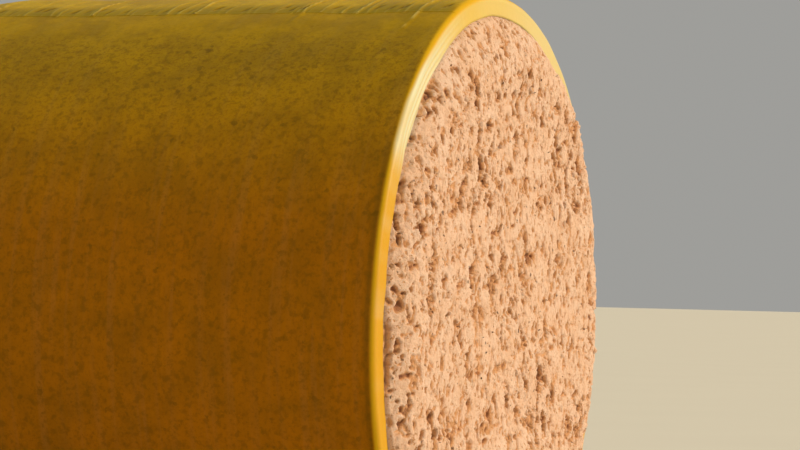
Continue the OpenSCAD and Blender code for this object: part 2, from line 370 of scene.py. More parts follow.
def fibre_group(name):
    """Height and tint of fine matted fibre, shared by every cotton finish."""
    n, given, last = open_group(name, {"Scale": 90.0}, ["Height", "Tint"])
    place, scale = given["Place"], given["Scale"]
    mat = n.add("ShaderNodeTexNoise", Vector=place, Scale=scale, Detail=6.0, Roughness=0.65, Distortion=1.2)
    curl = n.add("ShaderNodeTexVoronoi", {"feature": "SMOOTH_F1"}, Vector=place, Scale=scale)
    lump = n.math("SUBTRACT", 1.0, curl.outputs["Distance"])
    height = n.math("MULTIPLY_ADD", mat.outputs["Fac"], 1.4, n.math("MULTIPLY", lump, 0.5))
    n.set(last, Height=height, Tint=n.ramp(n.noise(place, 9.0, 3.0), 0.35, 0.65))
    return n.tree


def new_material(name):
    """A material, its nodes, its shader and the place on the piece."""
    material = bpy.data.materials.new(name)
    material.use_nodes = True
    n = Nodes(material.node_tree)
    shader = next(x for x in material.node_tree.nodes if x.type == "BSDF_PRINCIPLED")
    place = n.add("ShaderNodeTexCoord").outputs["Object"]
    return material, n, shader, place


def cotton_finish(name, settings):
    """Seed cotton: cream fibre, with painted shade in the hollows, and leaf flecks."""
    material, n, shader, place = new_material(name)
    fibre = n.group("Matted fibre", fibre_group, Place=place, Scale=120.0)
    tinted = n.mix(fibre["Tint"], settings.cotton_colour, settings.cotton_warm)
    speckled = n.layer(tinted, n.ramp(n.noise(place, 210.0, 2.0), 0.50, 0.64), 0.40, settings.speckle_and_hollow_shade)
    # Painted shade: hollows of the mesh, and small pits that the bump also dents, are painted warmer on their
    # sides and darker deep down
    pock = n.ramp(n.noise(place, 68.0, 3.0, 0.6), 0.43, 0.33)
    hollow = n.math("MAXIMUM", n.mark("hollow"), n.math("MULTIPLY", pock, 0.60))
    warm = n.mix(n.ramp(hollow, 0.03, 0.40), speckled, settings.speckle_and_hollow_shade)
    deep = n.mix(n.ramp(hollow, 0.35, 1.0), warm, settings.hollow_shade_colour)
    coloured = n.layer(deep, flecks(n, place, 55.0, settings.fleck_share), 0.75, settings.leaf_colour)
    height = n.math("SUBTRACT", fibre["Height"], pock)
    n.set(shader, Base_Color=coloured, Roughness=0.95, Specular_IOR_Level=0.15,
          Sheen_Weight=0.25, Sheen_Roughness=0.6,
          Subsurface_Weight=0.08, Subsurface_Radius=(0.02, 0.012, 0.008), Subsurface_Scale=0.25,
          Normal=n.bump(height, 0.72, 0.006))
    return material


def leaf_finish(settings):
    """Dry bits of leaf and burr."""
    material, n, shader, place = new_material("dry leaf bits")
    grain = n.noise(place, 140.0, 4.0)
    darker = [0.45 * c for c in settings.leaf_colour]
    n.set(shader, Base_Color=n.mix(grain, settings.leaf_colour, darker), Roughness=0.85,
          Normal=n.bump(grain, 0.4, 0.001))
    return material


def film_finish(settings):
    """Yellow stretch film over cotton: deep on the sides, golden on the rims and pale on the lips from their
    layers and from painted sunlight, with painted light on the top and painted shade low down.
    """
    material, n, shader, place = new_material("yellow wrap film")
    blotch = n.noise(place, 6.0, 6.0, 0.68)
    grain = n.noise(place, 42.0, 4.0, 0.6)
    fine = n.noise(place, 105.0, 3.0, 0.6)
    stretched = n.add("ShaderNodeMapping", Vector=place, Scale=(30.0, 1.5, 1.5)).outputs[0]
    bands = n.noise(stretched, 1.0, 3.0)

    # Low film is painted darker and redder for shade and warm light from below, and a strip just below the
    # free end lies close and shows less grain
    level = n.add("ShaderNodeSeparateXYZ", Vector=place).outputs["Z"]
    low = n.ramp(level, 2.10, 1.15)
    calm = n.math("MULTIPLY_ADD", n.ramp(level, 1.84, 1.95), -0.7, 1.0)

    def strewn(mask, share):
        return n.math("MULTIPLY", mask, n.math("MULTIPLY", calm, share))

    # The body of the film, painted lighter over the top and darker low down, with grain, dust and leaf seen
    # through it
    # Painted light over the top, beyond the slack strip
    upper = n.mix(n.mark("top"), settings.film_colour, settings.film_top_light)
    top_lit_low_shaded = n.mix(low, upper, settings.film_low_shade)
    denser = n.mix(0.34, top_lit_low_shaded, settings.film_dark_and_shade)
    body = n.mix(n.ramp(blotch, 0.35, 0.65), denser, top_lit_low_shaded)
    # Faint pale bands round the roll
    banded = n.layer(body, n.ramp(bands, 0.45, 0.75), 0.015, settings.film_band_and_highlight)
    grained = n.mix(strewn(n.ramp(grain, 0.46, 0.68), 0.42), banded, settings.film_dark_and_shade)
    sanded = n.mix(strewn(n.ramp(fine, 0.50, 0.64), 0.36), grained, settings.film_dusk)
    small = strewn(flecks(n, place, 62.0, 0.20), 0.28)
    large = strewn(flecks(n, place, 28.0, 0.16), 0.40)
    flecked = n.mix(n.math("MAXIMUM", small, large), sanded, settings.film_dark_and_shade)

    # The slack strip at the tail with a painted sheen, painted shade in the puckers, painted highlights on
    # the creases, and the rims and lips with painted sunlight
    # Painted sheen: the slack strip above the free end is greyer and greener for the sky's reflection
    loose = n.layer(flecked, n.mark("slack"), 0.75, settings.film_slack_sheen)
    # Painted shade in the puckers and in a dark line beside the low rims
    puckered = n.layer(loose, n.mark("pucker"), 0.90, settings.film_dark_and_shade)
    # Painted highlight on the crests of the wrinkles
    creased = n.layer(puckered, n.mark("crease"), 0.60, settings.film_crease_highlight)
    # Painted sunlight: the rims are golden, also for their layers
    turned = n.mix(n.mark("rim"), creased, settings.film_rim_lit)
    # Painted light on the lips: paler high on the roll, darker and more orange low down
    lip_lit_and_shaded = n.mix(low, settings.film_lip, settings.film_lip_low_shade)
    # Painted highlight: the lips are paler over the upper front, fainter over the top, and in patches below
    lip = n.mix(n.mark("drawn"), lip_lit_and_shaded, settings.film_band_and_highlight)
    lipped = n.mix(n.mark("lip"), turned, lip)

    height = n.math("MULTIPLY_ADD", bands, 0.15, n.noise(place, 40.0, 5.0, 0.62))
    n.set(shader, Base_Color=lipped, Roughness=n.math("MULTIPLY_ADD", blotch, 0.20, 0.44),
          IOR=1.4, Specular_IOR_Level=0.12, Specular_Tint=(1.0, 0.72, 0.12, 1),
          Coat_Weight=n.math("MULTIPLY", n.mark("lip"), 0.4), Coat_Roughness=0.50, Coat_IOR=1.5,
          Subsurface_Weight=0.08, Subsurface_Radius=(0.03, 0.012, 0.002), Subsurface_Scale=0.4,
          Normal=n.bump(height, 0.28, 0.004))
    return material


# Loose cotton ends

def ring_counts(shares, spacing, full):
    """Points on each ring, halved towards the middle so that they stay about as far apart as the rings."""
    crown_girth, closest, fewest = 0.86 * GIRTH, 0.72 * spacing, 16
    counts, count = [], full
    for share in shares:
        while count > fewest and share * crown_girth / count < closest:
            count //= 2
        counts.append(count)
    return counts


def cotton_relief(points, near_lip, seed, settings):
    """Height of the lumps, locks and hollows, and how deep in a hollow each point is."""
    size = settings.lock_size
    bent = points + 0.55 * size * table(*(waves(points, 1.2 * size, seed + n) for n in range(3)))
    bent = bent * [1, 1, 0.8]

    # Looser here and there, near the lips and in a belt
    belt = 0.50 * hump(points[:, 2], settings.belt_height, 0.20) - 0.20
    loose = smooth(-0.35, 0.35, rough(points, 0.34, seed + 41, 2)) + 0.1 * near_lip + belt
    loose = np.clip(loose, 0, 1)

    near, gap, lot = puffs(bent, size, seed + 17)
    clump = (0.3 + 0.7 * lot) * (1 - near * near) * smooth(0, 0.3, gap)
    hollow = np.clip((-0.12 - rough(bent, 1.5 * size, seed + 5, 4, 0.68)) / 0.38, 0, 1)
    hollow = hollow * (0.50 + 0.50 * loose)
    hole = np.clip((-0.20 - rough(bent, 0.8 * size, seed + 9, 2)) / 0.45, 0, 1)
    relief = (
        settings.lock_height * (0.30 + 0.50 * loose) * (clump - 0.40)
        - settings.hollow_depth * (1.5 * hollow + 0.8 * hole)
        + 0.22 * settings.lock_height * waves(bent, 0.45 * size, seed + 13)
    )
    # How deep in a hollow each point is, for the painted shade there
    depth = np.clip(1.3 * hollow + hole, 0, 1)
    return settings.lump_height * rough(points, 0.21, seed + 31, 2) + relief + settings.proud, depth


def end_ring(s, inset, share, height, side, film):
    """One ring: the outline moved in by inset, drawn towards the middle by share, height past the lips."""
    y, z, ny, nz = outline(s)
    x = np.full(len(s), side * LIP_PLANE)
    inset = inset + slump(x, ny, nz, film)
    y, z = y - ny * inset, z - nz * inset
    return table(x + side * height, share * y, MIDDLE_Z + share * (z - MIDDLE_Z))


def end_surface(side, seed, spacing, full, settings, film):
    """The crowned, lumpy face of one end as rings: points, counts, hollows, directions, open share."""
    lip = film.lip_width + FILM_PITCH
    crown_end = lip + settings.crown_run
    s = np.arange(full) * GIRTH / full
    _, z, ny, nz = outline(s)
    outward = np.array([float(side), 0, 0])

    # Over the edge, inside the film's rim
    edge = [(0.0, BACK_PLANE - LIP_PLANE)]
    for a in np.linspace(0, math.pi / 2, 4):
        edge.append((RIM_RADIUS * (1 - math.cos(a)), RIM_RADIUS * (math.sin(a) - 1)))
    base = [end_ring(s, inset + EDGE_GAP, 1.0, height, side, film) for inset, height in edge]
    out = [np.tile(outward, (full, 1))] * len(edge)

    # Under the lips and up the crown
    covered = np.linspace(RIM_RADIUS, lip - 0.012, 4)[1:]
    insets = np.concatenate([covered, np.arange(lip - 0.007, crown_end, spacing)])
    full_back = settings.swell_height * smooth(0.20, 0.72, ny) * smooth(0.95, 1.50, z)
    for inset in insets:
        t = np.clip((inset - lip) / settings.crown_run, 0, 1)
        rise = (1 - (1 - t) ** 2) ** settings.crown_ease
        swell = full_back * band(t, 0, 0.3, 0.35, 1.0)
        base.append(end_ring(s, inset, 1.0, settings.crown_height * rise + swell, side, film))
        lean = 0.6 * (1 - t) * (t > 0)
        out.append(table(np.full(full, float(side)), lean * ny, lean * nz))

    # In to the middle
    shares = np.linspace(1, 0, int((TOP_RADIUS - crown_end) / spacing) + 1)[:-1]
    counts = [full] * len(base) + ring_counts(shares, spacing, full)
    for share, count in zip(shares, counts[len(base):]):
        s = np.arange(count) * GIRTH / count
        base.append(end_ring(s, crown_end, share, settings.crown_height, side, film))
        out.append(np.tile(outward, (count, 1)))
    base.append(np.array([[side * (LIP_PLANE + settings.crown_height), 0, MIDDLE_Z]]))
    out.append(outward[None])
    points, directions = np.concatenate(base), np.concatenate(out)
    directions /= np.linalg.norm(directions, axis=1)[:, None]

    def over_rings(beside, inside):
        """A number for each point: 0 on the edge, one for each ring beside the lips, one for all inside."""
        numbers = np.concatenate([np.zeros(len(edge)), beside, np.full(len(shares) + 1, inside)])
        return np.repeat(numbers, counts + [1])

    share = over_rings(smooth(lip - 0.006, lip + 0.010, insets), 1.0)
    near_lip = over_rings(smooth(crown_end, lip, insets), 0.0)
    groove = over_rings(hump(insets, lip + 0.007, 0.009), 0.0)
    groove *= smooth(-0.05, 0.35, rough(points, 0.055, seed + 71, 3))
    outer_rings = len(edge) + len(insets)
    groove[:full * outer_rings] *= np.tile(1 - smooth(0.65, 0.88, nz), outer_rings)
    height, hollow = cotton_relief(points, near_lip, seed, settings)
    height = height - settings.groove_depth * groove
    # The groove beside the lips gets the painted hollow shade too
    hollow = np.maximum(hollow, 0.8 * groove)
    points = points + directions * (height * share)[:, None]
    return points, counts, hollow * share, directions, share


def ring_faces(counts, start=0):
    """Quads between equal rings, three triangles where a ring halves, a fan to a last ring of one point."""
    quads, triangles = [NO_QUADS], [NO_TRIANGLES]
    for n, m in zip(counts, counts[1:]):
        i, after = np.arange(n if m == 1 else m), start + n
        if m == n:
            a, b = start + i, start + (i + 1) % n
            quads.append(table(a, a + n, b + n, b))
        elif m == 1:
            triangles.append(table(start + i, np.full(n, after), start + (i + 1) % n))
        else:
            a, b, c = start + 2 * i, start + 2 * i + 1, start + (2 * i + 2) % n
            d, e = after + i, after + (i + 1) % m
            triangles += [table(*t) for t in ((a, d, b), (b, d, e), (b, e, c))]
        start = after
    return np.concatenate(quads), np.concatenate(triangles)


def lid_faces(first, last):
    """Faces of a flat back between an outer ring and an inner one of as many points, or half as many."""
    n, m = len(first), len(last)
    i = np.arange(m)
    if n == m:
        return table(first, np.roll(first, -1), np.roll(last, -1), last), NO_TRIANGLES
    a, b, c = first[2 * i], first[2 * i + 1], first[(2 * i + 2) % n]
    d, e = last, np.roll(last, -1)
    return NO_QUADS, np.concatenate([table(*t) for t in ((a, b, d), (b, e, d), (b, c, e))])


def end_blocks(side, points, counts, hollow):
    """The face of one end as two closed blocks, one inside the other, each as mesh_piece takes it."""
    starts = np.concatenate([[0], np.cumsum(counts)])
    joint = int(np.searchsorted(-np.array(counts), -counts[0] // 2)) + 1
    while starts[joint] < 0.55 * starts[-1]:
        joint += 1
    first, last, size = starts[joint], starts[joint + 1], counts[joint]
    wall = points[first:last].copy()
    wall[:, 0] = side * BACK_PLANE

    # The outer block: the face up to the joint, the wall there and a flat back
    faces = ring_faces(counts[:joint + 1] + [size])
    lid = lid_faces(np.arange(counts[0]), last + np.arange(size))
    hollows = np.concatenate([hollow[:last], np.zeros(size)])
    outer = np.concatenate([points[:last], wall]), faces, lid, hollows, (first, last)

    # The inner block: the rest of the face, the same wall and a fan of triangles behind
    faces = ring_faces(counts[joint:] + [1])
    rest = len(points) - first
    i = np.arange(size)
    after = (i + 1) % size
    back = (table(i, after, rest + after, rest + i),
            table(rest + i, rest + after, np.full(size, rest + size)))
    hollows = np.concatenate([hollow[first:], np.zeros(size + 1)])
    middle = np.array([[side * BACK_PLANE, 0, MIDDLE_Z]])
    inner = np.concatenate([points[first:], wall, middle]), faces, back, hollows, (0, size)

    def block(places, front, behind, hollows, seam):
        quads, triangles = (np.concatenate(pair)[:, ::-side] for pair in zip(front, behind))
        return places, quads, triangles, {"hollow": hollows}, [seam]

    return block(*outer), block(*inner)


def ball(level):
    """Points and triangles of a round ball of radius 1."""
    mesh = bmesh.new()
    bmesh.ops.create_icosphere(mesh, subdivisions=level, radius=1)
    points = np.array([v.co[:] for v in mesh.verts])
    faces = np.array([[v.index for v in f.verts] for f in mesh.faces])
    mesh.free()
    return points, faces


def scattered(points, directions, open_share, count, seed):
    """Random places on an end, away from the lips."""
    rng = np.random.default_rng(seed)
    chosen = rng.choice(np.flatnonzero(open_share > 0.9), count, replace=False)
    return rng, points[chosen], directions[chosen]


def lock_mesh(points, directions, open_share, count, seed):
    """Soft locks of cotton that stand out of an end, as one mesh."""
    rng, places, outs = scattered(points, directions, open_share, count, seed)
    shape, faces = ball(2)
    made, hollow = [], []
    for place, out in zip(places, outs):
        size = rng.uniform(0.008, 0.019)
        stretch = np.array([rng.uniform(0.6, 1.0), rng.uniform(0.8, 1.4), rng.uniform(0.7, 1.1)])
        turn, axis = rng.uniform(0, 2 * math.pi), Vector(rng.normal(size=3)).normalized()
        local = shape * stretch
        folds = rough(local + rng.uniform(0, 90, 3), 0.8, seed, 2)
        local = local * (1 + 0.42 * folds)[:, None]
        made.append(place + size * (local @ np.array(Matrix.Rotation(turn, 3, axis)).T) - 0.35 * size * out)
        # Painted shade in the folds of each lock
        hollow.append(np.clip(-1.2 * folds, 0, 1))
    faces = copied_faces(faces, count, len(shape))
    return np.concatenate(made), NO_QUADS, faces, {"hollow": np.concatenate(hollow)}


def leaf_mesh(points, directions, open_share, count, seed):
    """Bits of leaf and burr that lie in the cotton, as one mesh of bent flakes."""
    rng, places, outs = scattered(points, directions, open_share, count, seed)
    top = [[-1, 0, 0], [-0.3, 0.5, 0.1], [0.4, 0.4, 0.25], [1, 0, 0.5], [0.3, -0.5, 0.1], [-0.4, -0.4, 0]]
    shape = np.concatenate([top, np.subtract(top, [0, 0, 0.16])])
    ring = np.arange(6)
    sides = table(ring, (ring + 1) % 6, 6 + (ring + 1) % 6, 6 + ring)
    lids = np.array([[0, 5, 4, 1], [1, 4, 3, 2], [7, 10, 11, 6], [8, 9, 10, 7]])
    made = []
    for place, out in zip(places, outs):
        size = rng.uniform(0.0015, 0.0055)
        stretch = np.array([rng.uniform(0.9, 1.8), rng.uniform(0.5, 1.0), 1.0])
        lie = Vector(out + 0.5 * rng.normal(size=3)).to_track_quat("Z", "Y").to_matrix()
        spin = Matrix.Rotation(rng.uniform(0, 2 * math.pi), 3, "Z")
        made.append(place + size * ((shape * stretch) @ np.array(lie @ spin).T) + 0.002 * out)
    return np.concatenate(made), copied_faces(np.concatenate([sides, lids]), count, len(shape))


# Film

# The long wrinkles: place along the roll, reach below and above the free end
LONG_WRINKLES = (
    (-1.02, 0.0, 0.30), (-0.66, 0.03, 0.24), (-0.23, 0.0, 0.36), (0.17, 0.0, 0.30),
    (0.59, 0.10, 0.34), (0.79, 0.0, 0.26), (1.02, 0.20, 0.30),
)


def wrinkle_table(settings):
    """Wrinkles: place along the roll, reach below and above the free end, half width, height, sharpness."""
    rng = np.random.default_rng(3)
    low, high = -LIP_PLANE + 0.05, LIP_PLANE - 0.05
    width, height = settings.wrinkle_width, settings.wrinkle_height
    rows = [(place, below, above, width, height, 1.0) for place, below, above in LONG_WRINKLES]
    for i in range(settings.wrinkle_count):
        place = low + (high - low) * (i + rng.uniform(0.1, 0.9)) / settings.wrinkle_count
        size = rng.uniform(0.0, 1.0) ** 2
        above, half = settings.wrinkle_length * rng.uniform(0.3, 1.0), width * rng.uniform(0.7, 1.9)
        rows.append((place, 0.0, above, half, height * (0.20 + 0.55 * size), 0.12 + 0.5 * size))
    return rows


def pucker_table(settings):
    """Puckers: place along the roll, height above the free end, length, half width, depth."""
    rng = np.random.default_rng(8)
    rows = []
    for i in range(settings.pucker_count):
        place = LIP_PLANE * (2 * (i + rng.uniform(0.1, 0.9)) / settings.pucker_count - 1) * 0.96
        size = rng.uniform(0.25, 1.0)
        start = rng.uniform(0.006, 0.040)
        rows.append((place, start, 0.030 + 0.036 * size, 0.006 + 0.007 * size, settings.pucker_depth * size))
    return rows


def wrinkle_relief(x, up, rows, lean):
    """Height of the wrinkles at x, up metres above the free end, and how near to a crest each point is."""
    total, crest = np.zeros(len(x)), np.zeros(len(x))
    for place, below, above, half, height, sharp in rows:
        near = np.abs(x - place - 0.5 * up * math.tan(lean)) < 3 * half + 0.5 * above * abs(math.tan(lean))
        u = up[near]
        along = np.clip(np.where(u > 0, 1 - u / above, 1 + u / max(below, 0.004)), 0, 1)
        wander = 0.35 * half * np.sin(u / 0.05 + 40 * place)
        aside = np.abs(x[near] - place - u * math.tan(lean) - wander) / (half * (0.45 + 0.55 * along))
        rise = np.clip(1 - aside, 0, 1) ** 1.5 * smooth(0, 0.35, along)
        total[near] = np.maximum(total[near], height * rise)
        crest[near] = np.maximum(crest[near], sharp * smooth(0.45, 0.0, aside) * smooth(0.05, 0.6, along))
    return total, crest


def pucker_relief(x, up, rows, lean):
    """Depth of the puckers at x, up metres above the free end."""
    total = np.zeros(len(x))
    for place, start, reach, half, depth in rows:
        near = np.abs(x - place) < 4 * half + 0.03
        u = up[near] - start
        aside = np.abs(x[near] - place - u * math.tan(lean)) / half
        along = 2 * u / reach - 1
        dent = depth * np.clip(1 - aside * aside, 0, 1) * np.clip(1 - along ** 2, 0, 1)
        total[near] = np.maximum(total[near], dent)
    return total


def lip_folds(around, lip, angle, ny, settings):
    """Height of the folds that run along a lip, and its painted highlight, by degrees above the front."""
    strands = np.sin(2 * math.pi * (lip / settings.strand_pitch + 1.5 * waves(around, 0.30, 91)))

    # Drawn tight over the upper front, with a painted highlight there that fades over the top, and painted
    # highlights in patches below
    drawn = band(angle, 24, 34, 44, 74)
    faded = (0.12 * smooth(70, 85, angle) + 0.28 * smooth(85, 115, angle)) * smooth(178, 140, angle)
    patches = 0.12 * smooth(-0.1, 0.6, waves(around, 0.060, 93))
    patches = patches * band(angle, -60, -20, 28, 38) * (np.abs(ny) > 0.5)
    height = settings.strand_height * strands * drawn * smooth(0.05, 0.25, lip / settings.lip_width)
    return height, np.maximum(np.maximum(drawn * (0.80 + 0.20 * strands), faded), patches)


def tail_folds(x, up, index, tail, settings):
    """Height of the wrinkles, puckers and slack at the free end, and the marks where the finish paints shade,
    sheen, highlights and a lit top.
    """
    wrinkles, puckers = tail
    body = smooth(LIP_PLANE - 0.012, LIP_PLANE - 0.045, np.abs(x))
    height, crease = wrinkle_relief(x, up, wrinkles, settings.wrinkle_lean)
    height, marks = height * body, {"crease": crease * body}
    if index == LAST_TURN:
        dent = pucker_relief(x, up, puckers, settings.wrinkle_lean + 0.25) * body
        bulge = settings.slack_height * band(up, 0, 0.03, 0.05, 0.22) * body
        ripple = 0.6 + 0.4 * waves(table(x, 0.3 * up, 0 * x), 0.07, 61)
        height = height - dent + bulge * ripple
        # Painted shade in the puckers
        marks["pucker"] = np.clip(dent / settings.pucker_depth, 0, 1)
        # The slack strip, which the finish paints with a sheen
        marks["slack"] = band(up, 0.0, 0.006, 0.04, settings.slack_reach) * body
        # The top, which the finish paints lighter
        marks["top"] = band(up, 0.04, settings.slack_reach, 0.5, 1.3)
    return height, marks


def film_piece(name, s_values, c_values, index, settings, hidden=None, tail=None):
    """One turn of the sheet: s runs round the roll and c across it. Hidden says how far it is drawn in."""
    s, c = np.meshgrid(s_values, c_values, indexing="ij")
    rows, columns = s.shape
    s, c = s.ravel(), c.ravel()
    up = tail_place(settings) - s
    offset = FILM_PITCH * (index + 1 + climb(s))
    if index == LAST_TURN:
        offset = offset - (FILM_PITCH - FILM_THICKNESS) * smooth(settings.tack_width, 0.0, up)
    offset = offset - TUCK_DROP * smooth(GIRTH, GIRTH + 0.5 * TUCK, s)

    # The lips' inner edges wander, and the lips lie closer to each other than the turns on the roll
    y, z, ny, nz = outline(s)
    half = sheet_half_width(offset, settings.lip_width - index * settings.lip_step)
    around = table(np.sign(c), y, z)
    wander = settings.edge_wander * (1 - 0.65 * np.clip(nz, 0, 1))
    c = c * half * (1 + wander * rough(around, 0.13, 71, 3) / half)
    offset = offset - index * (FILM_PITCH - LIP_STACK) * smooth(BODY_EDGE, BODY_EDGE + 0.05, np.abs(c))
    out, x, tilt, lip = section(c, offset)
    flat = table(x, y + ny * out, z + nz * out)

    # Dents over the cotton, gathers and folds on the lips, and the tail
    angle = np.degrees(np.arctan2(nz, -ny))
    gathers = 0.5 + rough(table(np.sign(c) * 5, y * 9, z * 9), 1.0, 41, 3)
    gathers = gathers * smooth(-0.3, 1.0, lip / settings.lip_width) * (tilt > 0.2)
    # The drawn mask that comes back is where the finish paints a highlight on the lips
    folds, drawn = lip_folds(around, lip, angle, ny, settings)
    dents = rough(flat, 0.26, 11, 3) * np.cos(tilt)
    relief = settings.dent_height * dents + settings.gather_height * gathers + folds
    marks = dict.fromkeys(("rim", "lip", "drawn", "top", "slack", "pucker", "crease"), np.zeros(len(s)))
    if tail is not None:
        height, tail_marks = tail_folds(x, up, index, tail, settings)
        relief = relief + height
        marks.update(tail_marks)
    if hidden is not None:
        relief = relief - hidden(s, c)

    # Placed on the settled roll, and kept above the ground and the turns below
    outward = table(np.sign(c) * np.sin(tilt), ny * np.cos(tilt), nz * np.cos(tilt))
    points = flat + outward * relief[:, None]
    sag = slump(points[:, 0], ny, nz, settings)
    points[:, 1] -= ny * sag
    points[:, 2] -= nz * sag
    points[:, 2] = np.maximum(points[:, 2], FILM_PITCH * (LAST_TURN - index))

    # Marks for the finish: painted shade in a dark line beside the low rims, the rims and lips that carry
    # painted sunlight, and lips that look wider or narrower round the end
    rim_shade = hump(np.abs(c), BODY_EDGE - 0.004, 0.009) * smooth(36, 22, angle)
    wide, narrow = band(angle, 44, 56, 80, 95), band(angle, 24, 32, 38, 44)
    marks["pucker"] = np.maximum(marks["pucker"], 0.6 * rim_shade)
    marks["rim"] = smooth(0.10, 0.60, tilt)
    marks["lip"] = smooth(0.55, 1.15, tilt - 0.35 * wide + 0.30 * narrow)
    # Painted highlight on the lips
    marks["drawn"] = drawn
    seams = [(0, columns), (len(points) - columns, len(points))]
    if index == LAST_TURN:
        seams = seams[:1]
    piece = mesh_piece(name, points, grid_quads(rows, columns)[:, ::-1], attributes=marks, seams=seams)
    edge = piece.modifiers.new("edge", "SOLIDIFY")
    edge.thickness = FILM_THICKNESS
    edge.offset = -1
    edge.use_rim_only = True
    return piece


def across(body_steps, lip_width):
    """Places across the sheet as shares of its half width, close together on the rims and the lips."""
    rim_steps, lip_steps = 7, 18
    half = sheet_half_width(FILM_PITCH, lip_width)
    body = BODY_EDGE / half
    rim = body + RIM_RADIUS * math.pi / 2 / half
    on_rim, on_lip = np.linspace(body, rim, rim_steps + 1)[1:], np.linspace(rim, 1, lip_steps + 1)[1:]
    right = np.concatenate([on_rim, on_lip])
    return np.concatenate([-right[::-1], np.linspace(-body, body, body_steps + 1), right])


def steps(*stops):
    """Values from one stop to the next: (start, step), (start, step), ..., (end, 0)."""
    values = [np.arange(a, b - 0.3 * step, step) for (a, step), (b, _) in zip(stops, stops[1:])]
    return np.concatenate(values + [[stops[-1][0]]])


# Settings

def number(name, description, value, kind=bpy.props.FloatProperty, **limits):
    return kind(name=name, description=description, default=value, **limits)


def whole_number(name, description, value):
    return number(name, description, value, bpy.props.IntProperty)


def metres(name, description, value, low=0.0, high=5.0):
    return number(name, description, value, min=low, max=high, subtype="DISTANCE", unit="LENGTH", precision=4)


def degrees(name, description, value):
    return number(name, description, math.radians(value), subtype="ANGLE")


def colour(name, description, value):
    kind = bpy.props.FloatVectorProperty
    return number(name, description, value, kind, size=3, min=0.0, max=1.0, subtype="COLOR")


class CottonSettings(bpy.types.PropertyGroup):
    crown_height: metres("Crown height", "How far the middle of an end stands out past the lips", 0.060)
    crown_run: metres("Crown run", "Distance over which the crown rises", 0.180)
    crown_ease: number("Crown ease", "Power that eases the crown's rise", 0.9)
    swell_height: metres("Swell height", "How far the upper back of an end swells out beside the lips", 0.014)
    lump_height: metres("Lump height", "Height of the broad lumps", 0.012)
    lock_size: metres("Lock size", "Distance from one lock of cotton to the next", 0.027)
    lock_height: metres("Lock height", "Height of a lock", 0.0095)
    hollow_depth: metres("Hollow depth", "Depth of the hollows where a lock is missing", 0.019)
    belt_height: metres("Belt height", "Height of the belt where the cotton is loosest", 1.62)
    groove_depth: metres("Groove depth", "Depth of the gaps between an end and the lips' inner edges", 0.012)
    proud: metres("Proud", "How far the locks stand out of the crown", 0.009)
    lock_count: whole_number("Locks", "Locks that stand out of each end", 80)
    leaf_count: whole_number("Leaf bits", "Bits of leaf and burr on each end", 150)
    fleck_share: number("Fleck share", "Share of spots with a fleck", 0.05)
    cotton_colour: colour("Cotton", "Clean fibre", (0.81, 0.62, 0.50))
    cotton_warm: colour("Warm cotton", "Fibre with field dust", (0.77, 0.545, 0.40))
    # Warm fibre specks, and painted shade on the sides of the hollows
    speckle_and_hollow_shade: colour("Warm hollows", "Fibre in the sides of the hollows", (0.70, 0.38, 0.17))
    # Painted shade deep in the hollows
    hollow_shade_colour: colour("Deep hollows", "Shaded fibre deep in the hollows", (0.30, 0.115, 0.04))
    leaf_colour: colour("Leaf colour", "Dry leaf and burr", (0.10, 0.045, 0.02))


